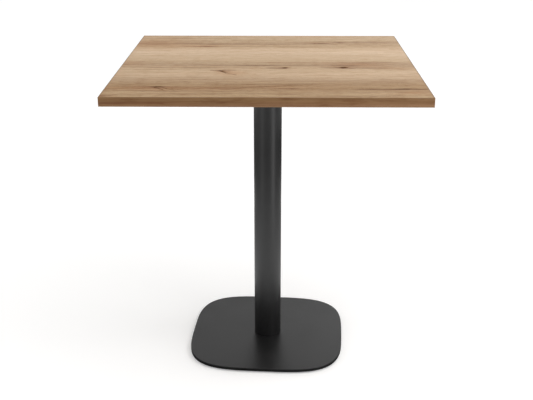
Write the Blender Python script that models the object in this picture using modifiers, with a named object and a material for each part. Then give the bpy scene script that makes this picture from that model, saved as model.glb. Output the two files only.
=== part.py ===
"""Bistro table: a square wood-decor top on a round steel column and a flat, soft-cornered steel base.

Run with: blender --background --python part.py
Metres, +Z up. The origin is on the floor, under the middle of the top, and the front faces -Y.
"""

from math import copysign, cos, pi, radians, sin

import bmesh
import bpy
from mathutils import Matrix, Vector

# ---- driving dimensions ----

TABLE_HEIGHT = 0.750
TOP_SIDE = 0.700  # side of the square top, over its edge bands
BOARD = 0.0206  # whole thickness of the top
SHEET = 0.0008  # decor sheet and backing sheet
BAND = 0.002  # edge band
BAND_ROUND = 0.0006  # broken edges of the bands

GAP = 0.0003  # between neighbours that touch on the real table

COLUMN_RADIUS = 0.035
COLUMN_WALL = 0.002
DISC_THICKNESS = 0.010  # tapped discs welded into the column's ends

BASE_SIDE = 0.400  # between the middles of two opposite sides
BASE_POWER = 3.6  # superellipse power: 2 is a circle, and a large one nears a square
BASE_THICKNESS = 0.008
BASE_ROUND = 0.0010  # broken edges of the base plate
PEDESTAL_TURN = radians(-3.5)  # the pedestal stands slightly off square under the top

PLATE_SIDE = 0.300  # steel plate under the top
PLATE_CORNER = 0.025
PLATE_THICKNESS = 0.005

FOOT_SPACING = 0.280  # between neighbouring feet
PAD_RADIUS = 0.014
PAD_HEIGHT = 0.0037
PAD_ROUND = 0.0006
PAD_FLOOR = 0.0010  # nylon under the stud's flange
GRIPS = 12  # notches round a pad's rim
GRIP_RADIUS = 0.0011
GRIP_SIDES = 6
STUD_RADIUS = 0.004  # M8
STUD_IN_BASE = 0.006  # length of the stud that is in the base plate
FLANGE_RADIUS = 0.007  # the stud's lower end, moulded into the pad
FLANGE_THICKNESS = 0.0012

# countersunk screws: thread radius, length and hexagon across flats
BASE_SCREW = {"radius": 0.004, "length": 0.016, "hexagon": 0.005}  # M8
PLATE_SCREW = {"radius": 0.003, "length": 0.014, "hexagon": 0.004}  # M6
SOCKET_DEPTH = 0.6  # of the hexagon sockets, as a share of the thread's radius
HEAD_RIM = 0.0003  # straight rim round a countersunk head
CHAMFER = 0.0003  # on the ends of screws and studs
SCREW_CIRCLE = 0.022  # radius of the circle that both sets lie on
SCREWS_IN_CIRCLE = 4

WOOD_SCREW_RADIUS = 0.0025
WOOD_SCREW_LENGTH = 0.016
WOOD_HEAD_RADIUS = 0.005
WOOD_HEAD_HEIGHT = 0.003
WOOD_HEAD_CROWN = [(0.55, 1.0), (0.90, 0.75), (1.0, 0.35)]  # shares of its radius and height
WOOD_POINT_LENGTH = 0.005  # tapered end of the wood screws
WOOD_POINT_RADIUS = 0.00075
WOOD_SCREW_EDGE = 0.020  # from the plate's edge to the screws
CROSS_LENGTH = 0.0044  # cross recess of the wood screws
CROSS_WIDTH = 0.0009
CROSS_DEPTH = 0.0015

COLUMN_SIDES = 64
PAD_SIDES = 36
SCREW_SIDES = 16
BASE_POINTS = 120  # corners of the base plate's outline
OVERRUN = 0.002  # how far a cutter passes the face that it cuts
AXIS_WELD = 0.00005  # merge distance on the axis of a turned shape
CAP_WELD = 0.000001  # merge distance between a shape and its caps
SMOOTH_BELOW = radians(35)  # faces that meet at less than this are shaded smooth
ROUND_ABOVE = radians(40)  # edges that turn more than this are rounded

# ---- derived levels, from the floor up ----

BASE_BOTTOM = PAD_HEIGHT + GAP
BASE_TOP = BASE_BOTTOM + BASE_THICKNESS
COLUMN_BOTTOM = BASE_TOP + GAP
BOARD_BOTTOM = TABLE_HEIGHT - BOARD
PLATE_TOP = BOARD_BOTTOM - GAP
PLATE_BOTTOM = PLATE_TOP - PLATE_THICKNESS
COLUMN_TOP = PLATE_BOTTOM - GAP
FLANGE_BOTTOM = PAD_FLOOR + GAP
FLANGE_TOP = FLANGE_BOTTOM + FLANGE_THICKNESS


# ---- scene, materials and the pedestal's frame ----


def clear_scene():
    for old in list(bpy.data.objects):
        bpy.data.objects.remove(old, do_unlink=True)


def new_collection(name):
    made = bpy.data.collections.new(name)
    bpy.context.scene.collection.children.link(made)
    return made


def new_material(name, color, roughness, metallic=0.0):
    made = bpy.data.materials.new(name)
    made.use_nodes = True
    shader = made.node_tree.nodes["Principled BSDF"]
    shader.inputs["Base Color"].default_value = (*color, 1.0)
    shader.inputs["Roughness"].default_value = roughness
    shader.inputs["Metallic"].default_value = metallic
    return made


def new_pedestal():
    """The empty that everything under the top is parented to, turned about the column."""
    empty = bpy.data.objects.new("pedestal", None)
    empty.rotation_euler.z = PEDESTAL_TURN
    table.objects.link(empty)
    return empty


clear_scene()
table = new_collection("bistro_table")
cutters = new_collection("cutters")

oak_decor = new_material("oak_decor", (0.50, 0.36, 0.23), 0.50)
oak_edge = new_material("oak_edge", (0.24, 0.15, 0.08), 0.45)
particleboard = new_material("particleboard", (0.48, 0.36, 0.22), 0.90)
backing_sheet = new_material("backing_sheet", (0.30, 0.22, 0.15), 0.60)
black_coat = new_material("black_powder_coat", (0.030, 0.030, 0.031), 0.42)
zinc_steel = new_material("zinc_steel", (0.62, 0.62, 0.60), 0.35, 1.0)
black_nylon = new_material("black_nylon", (0.020, 0.020, 0.020), 0.55)

pedestal = new_pedestal()


# ---- modelling helpers ----


def move_to(obj, collection):
    for old in obj.users_collection:
        old.objects.unlink(obj)
    collection.objects.link(obj)


def finish(obj, material, parent=None):
    """Makes obj a piece of the table: its collection, material, parent and smooth shading."""
    move_to(obj, table)
    obj.data.materials.clear()
    obj.data.materials.append(material)
    obj.parent = parent
    obj.data.shade_smooth()
    obj.data.set_sharp_from_angle(angle=SMOOTH_BELOW)


def add_bevel(obj, width, segments):
    bevel = obj.modifiers.new("rounded_edges", "BEVEL")
    bevel.width = width
    bevel.segments = segments
    bevel.limit_method = "ANGLE"
    bevel.angle_limit = ROUND_ABOVE


def add_box(name, low, high):
    """A box between two corners, with its origin at its middle and its scale applied."""
    low, high = Vector(low), Vector(high)
    bpy.ops.mesh.primitive_cube_add(size=1, location=(low + high) / 2)
    obj = bpy.context.active_object
    obj.name = name
    obj.data.transform(Matrix.Diagonal((*(high - low), 1.0)))
    return obj


def add_cylinder(name, radius, low, high, sides):
    bpy.ops.mesh.primitive_cylinder_add(
        vertices=sides, radius=radius, depth=high - low, location=(0, 0, (low + high) / 2)
    )
    obj = bpy.context.active_object
    obj.name = name
    return obj


def add_turned(name, profile, sides):
    """A solid of revolution about Z. The profile is (radius, height) points, top to bottom."""
    mesh = bpy.data.meshes.new(name)
    edges = [(i, i + 1) for i in range(len(profile) - 1)]
    mesh.from_pydata([(radius, 0.0, height) for radius, height in profile], edges, [])
    obj = bpy.data.objects.new(name, mesh)
    bpy.context.scene.collection.objects.link(obj)
    turn = obj.modifiers.new("turned", "SCREW")
    turn.steps = sides
    turn.render_steps = sides
    turn.use_merge_vertices = True
    turn.merge_threshold = AXIS_WELD
    return obj


def add_plate(name, outline, thickness):
    """A flat plate, centred on its own origin, from the (x, y) points of its outline."""
    curve = bpy.data.curves.new(name, "CURVE")
    curve.dimensions = "2D"
    curve.fill_mode = "BOTH"
    curve.extrude = thickness / 2
    spline = curve.splines.new("POLY")
    spline.points.add(len(outline) - 1)
    for point, (x, y) in zip(spline.points, outline):
        point.co = (x, y, 0.0, 1.0)
    spline.use_cyclic_u = True
    obj = bpy.data.objects.new(name, curve)
    bpy.context.scene.collection.objects.link(obj)
    return as_mesh(obj)


def as_mesh(obj):
    """Replaces obj, and what cuts it, with a mesh object of its final shape, its caps welded."""
    bpy.context.view_layer.update()
    graph = bpy.context.evaluated_depsgraph_get()
    mesh = bpy.data.meshes.new_from_object(obj.evaluated_get(graph))
    shape = bmesh.new()
    shape.from_mesh(mesh)
    bmesh.ops.remove_doubles(shape, verts=shape.verts, dist=CAP_WELD)
    shape.to_mesh(mesh)
    shape.free()
    name = obj.name
    world = obj.matrix_world.copy()
    used = [modifier.object for modifier in obj.modifiers if modifier.type == "BOOLEAN"]
    for old in [obj, *used]:
        bpy.data.objects.remove(old, do_unlink=True)
    made = bpy.data.objects.new(name, mesh)
    made.matrix_world = world
    bpy.context.scene.collection.objects.link(made)
    return made


def cut(obj, cutter):
    """Cuts cutter out of obj with a Boolean modifier, which stays live."""
    move_to(cutter, cutters)
    cutter.hide_render = True
    cutter.display_type = "WIRE"
    boolean = obj.modifiers.new("cut_" + cutter.name, "BOOLEAN")
    boolean.operation = "DIFFERENCE"
    boolean.object = cutter


def drill(obj, name, spots, radius, low, high, sides=SCREW_SIDES, frame=pedestal):
    """Cuts a round hole from level low to level high at each spot of a frame."""
    shape = bmesh.new()
    for x, y in spots:
        bmesh.ops.create_cone(
            shape,
            cap_ends=True,
            segments=sides,
            radius1=radius,
            radius2=radius,
            depth=high - low,
            matrix=Matrix.Translation((x, y, (low + high) / 2)),
        )
    mesh = bpy.data.meshes.new(name)
    shape.to_mesh(mesh)
    shape.free()
    cutter = bpy.data.objects.new(name, mesh)
    cutter.parent = frame
    cut(obj, cutter)


def place_copies(master, spots, level, material, upside_down=False):
    """Numbered pieces at the spots of the pedestal's frame, all sharing the master's mesh."""
    stem = master.name
    master = as_mesh(master)
    mesh = master.data
    bpy.data.objects.remove(master, do_unlink=True)
    for number, (x, y) in enumerate(spots, start=1):
        obj = bpy.data.objects.new(f"{stem}_{number}", mesh)
        obj.location = (x, y, level)
        obj.rotation_euler.x = pi if upside_down else 0.0
        finish(obj, material, pedestal)


# ---- outlines and patterns ----


def soft_square(side, power, count):
    """A superellipse: a square whose sides bow out and run smoothly into round corners."""
    points = []
    for step in range(count):
        angle = 2 * pi * step / count
        c, s = cos(angle), sin(angle)
        reach = side / 2 * (abs(c) ** power + abs(s) ** power) ** (-1 / power)
        points.append((reach * c, reach * s))
    return points


def rounded_square(side, corner, steps=6):
    """A square with quarter-circle corners."""
    points = []
    inset = side / 2 - corner
    for quarter in range(4):
        start = quarter * pi / 2
        x = copysign(inset, cos(start + pi / 4))
        y = copysign(inset, sin(start + pi / 4))
        for step in range(steps + 1):
            angle = start + step * pi / 2 / steps
            points.append((x + corner * cos(angle), y + corner * sin(angle)))
    return points


def circle_spots(radius, count, start=0.0):
    angles = [start + 2 * pi * i / count for i in range(count)]
    return [(radius * cos(angle), radius * sin(angle)) for angle in angles]


def square_corners(half):
    return [(half, half), (-half, half), (-half, -half), (half, -half)]


def square_middles(half):
    return [(half, 0.0), (0.0, half), (-half, 0.0), (0.0, -half)]


SCREW_SPOTS = circle_spots(SCREW_CIRCLE, SCREWS_IN_CIRCLE, start=pi / 4)
FOOT_SPOTS = square_corners(FOOT_SPACING / 2)
WOOD_REACH = PLATE_SIDE / 2 - WOOD_SCREW_EDGE
WOOD_SPOTS = square_corners(WOOD_REACH) + square_middles(WOOD_REACH)


# ---- tabletop ----


def make_board():
    """Particleboard core between a decor sheet and a backing sheet, with screw holes below."""
    half = TOP_SIDE / 2 - BAND - GAP
    layers = {
        "tabletop_backing": (BOARD_BOTTOM, BOARD_BOTTOM + SHEET, backing_sheet),
        "tabletop_core": (BOARD_BOTTOM + SHEET + GAP, TABLE_HEIGHT - SHEET - GAP, particleboard),
        "tabletop_laminate": (TABLE_HEIGHT - SHEET, TABLE_HEIGHT, oak_decor),
    }
    radius = WOOD_SCREW_RADIUS + GAP
    hole_bottom = BOARD_BOTTOM - OVERRUN
    hole_top = PLATE_BOTTOM + WOOD_SCREW_LENGTH + GAP
    for name, (low, high, material) in layers.items():
        layer = add_box(name, (-half, -half, low), (half, half, high))
        finish(layer, material)
        if low < hole_top:
            drill(layer, name + "_pilots", WOOD_SPOTS, radius, hole_bottom, hole_top)


def make_edge_bands():
    """The front and back bands run the whole width, and the side bands fit between them."""
    outer = TOP_SIDE / 2
    inner = outer - BAND
    between = inner - GAP
    spans = {
        "edge_band_front": ((-outer, -outer), (outer, -inner)),
        "edge_band_back": ((-outer, inner), (outer, outer)),
        "edge_band_left": ((-outer, -between), (-inner, between)),
        "edge_band_right": ((inner, -between), (outer, between)),
    }
    for name, (low, high) in spans.items():
        band = add_box(name, (*low, BOARD_BOTTOM), (*high, TABLE_HEIGHT))
        add_bevel(band, BAND_ROUND, segments=2)
        finish(band, oak_edge)


# ---- column, mounting plate and base ----


def make_column():
    """A tube with a tapped disc in each end."""
    bore = COLUMN_RADIUS - COLUMN_WALL
    tube = add_cylinder("column_tube", COLUMN_RADIUS, COLUMN_BOTTOM, COLUMN_TOP, COLUMN_SIDES)
    finish(tube, black_coat, pedestal)
    low, high = COLUMN_BOTTOM - OVERRUN, COLUMN_TOP + OVERRUN
    drill(tube, "column_bore", [(0.0, 0.0)], bore, low, high, COLUMN_SIDES)

    discs = {
        "column_bottom_disc": (COLUMN_BOTTOM, BASE_SCREW),
        "column_top_disc": (COLUMN_TOP - DISC_THICKNESS, PLATE_SCREW),
    }
    for name, (low, screw) in discs.items():
        high = low + DISC_THICKNESS
        disc = add_cylinder(name, bore - GAP, low, high, COLUMN_SIDES)
        finish(disc, zinc_steel, pedestal)
        radius = screw["radius"] + GAP
        drill(disc, name + "_taps", SCREW_SPOTS, radius, low - OVERRUN, high + OVERRUN)


def make_mounting_plate():
    """Plate under the top: wood screws go up through it, and machine screws go down."""
    outline = rounded_square(PLATE_SIDE, PLATE_CORNER)
    plate = add_plate("mounting_plate", outline, PLATE_THICKNESS)
    plate.location.z = (PLATE_TOP + PLATE_BOTTOM) / 2
    finish(plate, black_coat, pedestal)
    radius = WOOD_SCREW_RADIUS + GAP
    drill(plate, "plate_holes", WOOD_SPOTS, radius, PLATE_BOTTOM - OVERRUN, PLATE_TOP + OVERRUN)
    countersink(plate, PLATE_SCREW, PLATE_THICKNESS, PLATE_TOP)


def make_base_plate():
    """Soft-square plate, with countersinks and blind holes for the feet in its underside."""
    outline = soft_square(BASE_SIDE, BASE_POWER, BASE_POINTS)
    base = add_plate("base_plate", outline, BASE_THICKNESS)
    base.location.z = (BASE_TOP + BASE_BOTTOM) / 2
    add_bevel(base, BASE_ROUND, segments=3)
    finish(base, black_coat, pedestal)
    countersink(base, BASE_SCREW, BASE_THICKNESS, BASE_BOTTOM, upside_down=True)
    socket_top = BASE_BOTTOM + STUD_IN_BASE + GAP
    drill(base, "foot_sockets", FOOT_SPOTS, STUD_RADIUS + GAP, BASE_BOTTOM - OVERRUN, socket_top)


def countersink(plate, screw, thickness, level, upside_down=False):
    """Cuts the plate for the countersunk screws, whose heads are flush with it at level."""
    narrow = screw["radius"] + GAP
    wide = 2 * screw["radius"] + GAP
    profile = [
        (0.0, OVERRUN),
        (wide, OVERRUN),
        (wide, 0.0),
        (narrow, narrow - wide),
        (narrow, -thickness - OVERRUN),
        (0.0, -thickness - OVERRUN),
    ]
    for number, (x, y) in enumerate(SCREW_SPOTS, start=1):
        sink = as_mesh(add_turned(f"{plate.name}_sink_{number}", profile, SCREW_SIDES))
        sink.location = (x, y, level)
        sink.rotation_euler.x = pi if upside_down else 0.0
        sink.parent = pedestal
        cut(plate, sink)


# ---- screws ----


def add_countersunk_screw(name, radius, length, hexagon):
    """A 90 degree countersunk screw with a hexagon socket, its head up and flush with z = 0."""
    head = 2 * radius - GAP
    profile = [
        (0.0, 0.0),
        (head, 0.0),
        (head, -HEAD_RIM),
        (radius, radius - head - HEAD_RIM),
        (radius, CHAMFER - length),
        (radius - CHAMFER, -length),
        (0.0, -length),
    ]
    screw = add_turned(name, profile, SCREW_SIDES)
    corner_radius = hexagon / 2 / cos(pi / 6)
    floor = -SOCKET_DEPTH * radius
    cut(screw, add_cylinder(name + "_hexagon", corner_radius, floor, OVERRUN, sides=6))
    return screw


def add_wood_screw(name):
    """A pan-head screw with a cross recess, its head up, on a plate whose face is at z = 0."""
    crown = [(x * WOOD_HEAD_RADIUS, z * WOOD_HEAD_HEIGHT) for x, z in WOOD_HEAD_CROWN]
    profile = [
        (0.0, WOOD_HEAD_HEIGHT),
        *crown,
        (WOOD_HEAD_RADIUS, 0.0),
        (WOOD_SCREW_RADIUS, 0.0),
        (WOOD_SCREW_RADIUS, WOOD_POINT_LENGTH - WOOD_SCREW_LENGTH),
        (WOOD_POINT_RADIUS, -WOOD_SCREW_LENGTH),
        (0.0, -WOOD_SCREW_LENGTH),
    ]
    screw = add_turned(name, profile, SCREW_SIDES)
    long, short = CROSS_LENGTH / 2, CROSS_WIDTH / 2
    low, high = WOOD_HEAD_HEIGHT - CROSS_DEPTH, WOOD_HEAD_HEIGHT + OVERRUN
    for number, (x, y) in enumerate([(long, short), (short, long)], start=1):
        cut(screw, add_box(f"{name}_cross_{number}", (-x, -y, low), (x, y, high)))
    return screw


def make_screws():
    base_screw = add_countersunk_screw("base_screw", **BASE_SCREW)
    place_copies(base_screw, SCREW_SPOTS, BASE_BOTTOM, zinc_steel, upside_down=True)
    plate_screw = add_countersunk_screw("plate_screw", **PLATE_SCREW)
    place_copies(plate_screw, SCREW_SPOTS, PLATE_TOP, zinc_steel)
    wood_screw = add_wood_screw("top_screw")
    place_copies(wood_screw, WOOD_SPOTS, PLATE_BOTTOM - GAP, zinc_steel, upside_down=True)


# ---- levelling feet ----


def make_studs():
    """Steel studs, screwed into the base plate, each with a flange that holds its pad."""
    top = BASE_BOTTOM + STUD_IN_BASE
    profile = [
        (0.0, top),
        (STUD_RADIUS - CHAMFER, top),
        (STUD_RADIUS, top - CHAMFER),
        (STUD_RADIUS, FLANGE_TOP),
        (FLANGE_RADIUS, FLANGE_TOP),
        (FLANGE_RADIUS, FLANGE_BOTTOM),
        (0.0, FLANGE_BOTTOM),
    ]
    place_copies(add_turned("foot_stud", profile, SCREW_SIDES), FOOT_SPOTS, 0.0, zinc_steel)


def make_pads():
    """Nylon pads round the studs' flanges, with finger notches in the rim."""
    neck = STUD_RADIUS + GAP
    pocket = FLANGE_RADIUS + GAP
    profile = [
        (0.0, PAD_FLOOR),
        (pocket, PAD_FLOOR),
        (pocket, FLANGE_TOP + GAP),
        (neck, FLANGE_TOP + GAP),
        (neck, PAD_HEIGHT),
        (PAD_RADIUS - PAD_ROUND, PAD_HEIGHT),
        (PAD_RADIUS, PAD_HEIGHT - PAD_ROUND),
        (PAD_RADIUS, PAD_ROUND),
        (PAD_RADIUS - PAD_ROUND, 0.0),
        (0.0, 0.0),
    ]
    pad = add_turned("foot_pad", profile, PAD_SIDES)
    notches = circle_spots(PAD_RADIUS, GRIPS)
    high = PAD_HEIGHT + OVERRUN
    drill(pad, "grips", notches, GRIP_RADIUS, PAD_ROUND, high, GRIP_SIDES, frame=None)
    place_copies(pad, FOOT_SPOTS, 0.0, black_nylon)


make_board()
make_edge_bands()
make_column()
make_mounting_plate()
make_base_plate()
make_screws()
make_studs()
make_pads()
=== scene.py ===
"""Looks of the bistro table: an oak-decor top with edge bands, and a black coated pedestal."""

from math import atan2, copysign, cos, pi, radians, sin, tau

import bmesh
import bpy
from mathutils import Matrix, Vector


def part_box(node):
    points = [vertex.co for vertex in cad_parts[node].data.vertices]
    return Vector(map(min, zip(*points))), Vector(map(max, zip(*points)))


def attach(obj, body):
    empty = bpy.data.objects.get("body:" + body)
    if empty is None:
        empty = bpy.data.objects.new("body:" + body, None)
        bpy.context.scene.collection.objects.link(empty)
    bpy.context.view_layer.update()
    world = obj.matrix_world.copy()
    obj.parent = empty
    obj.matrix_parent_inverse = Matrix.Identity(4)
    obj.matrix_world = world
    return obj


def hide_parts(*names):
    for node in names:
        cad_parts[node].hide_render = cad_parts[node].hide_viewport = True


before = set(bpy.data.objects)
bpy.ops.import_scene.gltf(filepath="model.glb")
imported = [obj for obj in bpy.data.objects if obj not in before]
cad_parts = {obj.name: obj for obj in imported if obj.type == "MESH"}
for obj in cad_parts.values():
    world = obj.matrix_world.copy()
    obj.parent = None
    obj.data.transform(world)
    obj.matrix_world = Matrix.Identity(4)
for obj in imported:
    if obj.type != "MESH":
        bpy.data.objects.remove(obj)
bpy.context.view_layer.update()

ROOT = "table"
FEET = 4
TOP_SCREWS = 8
COLUMN_SCREWS = 4
GAP = 0.0003  # what the CAD model leaves between neighbours that touch

top_low, top_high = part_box("tabletop_laminate")
band_low, band_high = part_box("edge_band_front")
_, tube_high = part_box("column_tube")
base_low, base_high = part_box("base_plate")
plate_low, plate_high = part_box("mounting_plate")

TOP_HALF = band_high.x  # half the side of the top, over its bands
BAND_DEPTH = band_high.y - band_low.y


def middle(node):
    """The point at the middle of a CAD node's box."""
    low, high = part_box(node)
    return (low + high) / 2


FOOT_SPOTS = [middle(f"foot_pad_{i + 1}") for i in range(FEET)]
WOOD_SPOTS = [middle(f"top_screw_{i + 1}") for i in range(TOP_SCREWS)]
PLATE_SPOTS = [middle(f"plate_screw_{i + 1}") for i in range(COLUMN_SCREWS)]
BASE_SPOTS = [middle(f"base_screw_{i + 1}") for i in range(COLUMN_SCREWS)]

# the pedestal stands slightly turned under the top: its first foot would else be at 45 degrees
PEDESTAL_TURN = atan2(FOOT_SPOTS[0].y, FOOT_SPOTS[0].x) - pi / 4


# ---- node trees ----


class Graph:
    """Short calls for building a shader. A value is a number, a tuple or a node's output."""

    def __init__(self, tree):
        self.tree = tree

    def feed(self, socket, value):
        if isinstance(value, bpy.types.NodeSocket):
            self.tree.links.new(value, socket)
        else:
            socket.default_value = value

    def add(self, kind, inputs, **settings):
        node = self.tree.nodes.new("ShaderNode" + kind)
        for name, value in settings.items():
            setattr(node, name, value)
        for socket, value in inputs.items():
            self.feed(node.inputs[socket], value)
        return node

    def math(self, operation, *values, clamp=False):
        inputs = dict(enumerate(values))
        return self.add("Math", inputs, operation=operation, use_clamp=clamp).outputs[0]

    def vector(self, operation, *values):
        inputs = dict(enumerate(values))
        node = self.add("VectorMath", inputs, operation=operation)
        as_number = operation in ("DOT_PRODUCT", "LENGTH", "DISTANCE")
        return node.outputs["Value" if as_number else "Vector"]

    def total(self, values):
        result = values[0]
        for value in values[1:]:
            result = self.math("ADD", result, value)
        return result

    def scaled(self, vector, x, y, z=1.0):
        return self.vector("MULTIPLY", vector, (x, y, z))

    def noise(self, vector, detail=2.0, roughness=0.5, scale=1.0):
        inputs = {"Vector": vector, "Scale": scale, "Detail": detail, "Roughness": roughness}
        return self.add("TexNoise", inputs).outputs[0]

    def remap(self, value, low, high, to_low=0.0, to_high=1.0):
        """Eases from to_low at low to to_high at high, and stays level outside them."""
        inputs = {"Value": value, 1: low, 2: high, 3: to_low, 4: to_high}
        return self.add("MapRange", inputs, interpolation_type="SMOOTHSTEP").outputs[0]

    def ramp(self, value, stops):
        """stops are (position, (r, g, b)) pairs, in order."""
        node = self.add("ValToRGB", {"Fac": value})
        elements = node.color_ramp.elements
        while len(elements) < len(stops):
            elements.new(1.0)
        for element, (position, color) in zip(elements, stops):
            element.position = position
            element.color = (*color, 1.0)
        return node.outputs["Color"]

    def tint(self, color, mask, shade):
        """Multiplies the color by the shade where the mask is 1."""
        inputs = {0: mask, 6: color, 7: (*shade, 1.0)}
        return self.add("Mix", inputs, data_type="RGBA", blend_type="MULTIPLY").outputs[2]

    def group(self, tree, **inputs):
        node = self.tree.nodes.new("ShaderNodeGroup")
        node.node_tree = tree
        for name, value in inputs.items():
            self.feed(node.inputs[name], value)
        return node.outputs[0]


def new_group(name, inputs):
    """An empty group with the named inputs, one output called Mask, and the graph to fill it."""
    tree = bpy.data.node_groups.new(name, "ShaderNodeTree")
    for label in inputs:
        kind = "NodeSocketFloat" if label in ("Width", "Strength") else "NodeSocketVector"
        tree.interface.new_socket(label, in_out="INPUT", socket_type=kind)
    tree.interface.new_socket("Mask", in_out="OUTPUT", socket_type="NodeSocketFloat")
    source = tree.nodes.new("NodeGroupInput")
    target = tree.nodes.new("NodeGroupOutput")
    return Graph(tree), source.outputs, target.inputs[0]


def new_material(name):
    """A Principled material and the graph, shader and object position to work with."""
    material = bpy.data.materials.new(name)
    material.use_nodes = True
    g = Graph(material.node_tree)
    shader = material.node_tree.nodes["Principled BSDF"]
    position = g.add("TexCoord", {}).outputs["Object"]
    return material, g, shader, position


def bump(g, shader, height, strength, distance):
    made = g.add("Bump", {"Height": height, "Strength": strength, "Distance": distance})
    g.feed(shader.inputs["Normal"], made.outputs[0])


# ---- the oak decor ----
# The grain runs along X. Places and sizes are in metres from the middle of the top.

WIDE_BEND, FINE_BEND = 0.016, 0.004  # how far the grain lines bend, over long and short ways
TAIL_FADE = 0.16  # how fast a knot's tails fade
RING_LENGTH, RING_WIDTH = 1.8, 2.2  # reach of a knot's rings, in its half length and half width
HALO_SPREAD = 1.9  # size of the stain round a knot, in the knot's size
KNOT_RAGGED = (120.0, 0.006)  # how finely its outline is broken, and how far
CRACK_RAGGED = (90.0, 0.010)

# across the board, from the back edge to the front one: share of the depth, and its tone
BOARD_TONES = [
    (0.00, (0.59, 0.435, 0.285)),
    (0.09, (0.60, 0.447, 0.288)),
    (0.15, (0.51, 0.360, 0.222)),
    (0.22, (0.55, 0.390, 0.240)),
    (0.27, (0.64, 0.470, 0.310)),
    (0.33, (0.66, 0.495, 0.338)),
    (0.42, (0.61, 0.450, 0.295)),
    (0.48, (0.56, 0.405, 0.255)),
    (0.54, (0.46, 0.320, 0.195)),
    (0.60, (0.56, 0.405, 0.258)),
    (0.70, (0.59, 0.430, 0.282)),
    (0.77, (0.475, 0.332, 0.205)),
    (0.83, (0.415, 0.274, 0.148)),
    (0.89, (0.405, 0.262, 0.135)),
    (0.95, (0.47, 0.328, 0.190)),
    (1.00, (0.46, 0.315, 0.178)),
]

# how strongly the grain shows, across the board in the same way
GRAIN_DEPTH = [
    (0.00, (0.75, 0.75, 0.75)),
    (0.15, (1.00, 1.00, 1.00)),
    (0.26, (0.55, 0.55, 0.55)),
    (0.46, (0.55, 0.55, 0.55)),
    (0.55, (1.00, 1.00, 1.00)),
    (0.64, (0.60, 0.60, 0.60)),
    (0.76, (0.70, 0.70, 0.70)),
    (0.84, (1.00, 1.00, 1.00)),
    (1.00, (1.00, 1.00, 1.00)),
]

# the grain's layers: how fine they are along and across it, their detail, the part of the noise
# that shows, the strength, and the shade
GRAIN_LAYERS = [
    (6.0, 44.0, 3.0, 0.50, 0.68, 0.8, (0.88, 0.82, 0.75)),
    (11.0, 52.0, 3.0, 0.52, 0.70, 0.8, (1.09, 1.10, 1.12)),
    (2.4, 95.0, 5.0, 0.42, 0.78, 1.0, (0.70, 0.59, 0.48)),
    (20.0, 76.0, 3.0, 0.52, 0.68, 0.9, (0.87, 0.80, 0.73)),
    (15.0, 110.0, 4.0, 0.52, 0.68, 0.8, (0.80, 0.71, 0.60)),
    (9.0, 170.0, 4.0, 0.50, 0.72, 0.8, (0.74, 0.63, 0.51)),
    (5.0, 330.0, 4.0, 0.50, 0.75, 0.8, (0.76, 0.67, 0.56)),
    (3.5, 210.0, 3.0, 0.50, 0.78, 0.8, (1.16, 1.17, 1.19)),
    (30.0, 620.0, 3.0, 0.55, 0.72, 0.5, (0.78, 0.69, 0.60)),
]

# short flecks that only the top has, given in the same way
FLECK_LAYERS = [
    (48.0, 150.0, 3.0, 0.50, 0.64, 0.9, (0.84, 0.77, 0.69)),
    (40.0, 130.0, 3.0, 0.50, 0.64, 0.9, (1.12, 1.13, 1.15)),
]

# what multiplies the wood's tone under each kind of mark
PORE_SHADE, PORE_STRENGTH = (0.52, 0.40, 0.30), 0.6
WARM_SHADE = (0.87, 0.72, 0.60)
PALE_SHADE = (1.10, 1.12, 1.14)
STREAK_SHADE = (0.46, 0.33, 0.22)
HALO_SHADE = (0.66, 0.46, 0.30)  # around a knot
EYE_SHADE = (0.50, 0.34, 0.20)  # a knot and its tails
CORE_SHADE = (0.40, 0.26, 0.14)  # the middle of a knot
CRACK_SHADE = (0.26, 0.17, 0.11)
PATCH_SHADE = (0.78, 0.70, 0.66)  # darker patches of the edge bands

# dark lines along the grain: x, y, half length, half width, strength
STREAKS = [
    (-0.100, 0.2300, 0.130, 0.0060, 0.75),
    (0.080, 0.2310, 0.080, 0.0050, 0.50),
    (0.270, 0.2510, 0.100, 0.0070, 0.45),
    (-0.030, 0.1925, 0.200, 0.0050, 0.50),
    (-0.030, -0.0375, 0.200, 0.0040, 0.45),
    (-0.015, -0.0380, 0.045, 0.0045, 0.80),
    (-0.200, -0.0630, 0.100, 0.0035, 0.50),
    (0.270, -0.0080, 0.090, 0.0050, 0.50),
    (0.280, -0.0630, 0.080, 0.0035, 0.50),
    (0.160, -0.0610, 0.034, 0.0056, 1.20),
    (0.190, -0.0400, 0.036, 0.0050, 1.10),
    (0.232, -0.0660, 0.045, 0.0052, 0.95),
    (0.022, -0.0650, 0.024, 0.0068, 1.30),
    (-0.020, -0.2330, 0.115, 0.0030, 0.70),
    (0.285, -0.2750, 0.085, 0.0048, 1.25),
    (0.120, -0.2735, 0.130, 0.0022, 0.75),
    (-0.010, -0.2480, 0.070, 0.0024, 0.45),
    (0.000, -0.2900, 0.080, 0.0028, 0.55),
    (-0.150, -0.3020, 0.120, 0.0028, 0.50),
    (0.220, -0.3020, 0.120, 0.0028, 0.50),
    (-0.080, -0.3180, 0.180, 0.0026, 0.45),
    (0.180, -0.3330, 0.150, 0.0026, 0.45),
]

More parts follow.
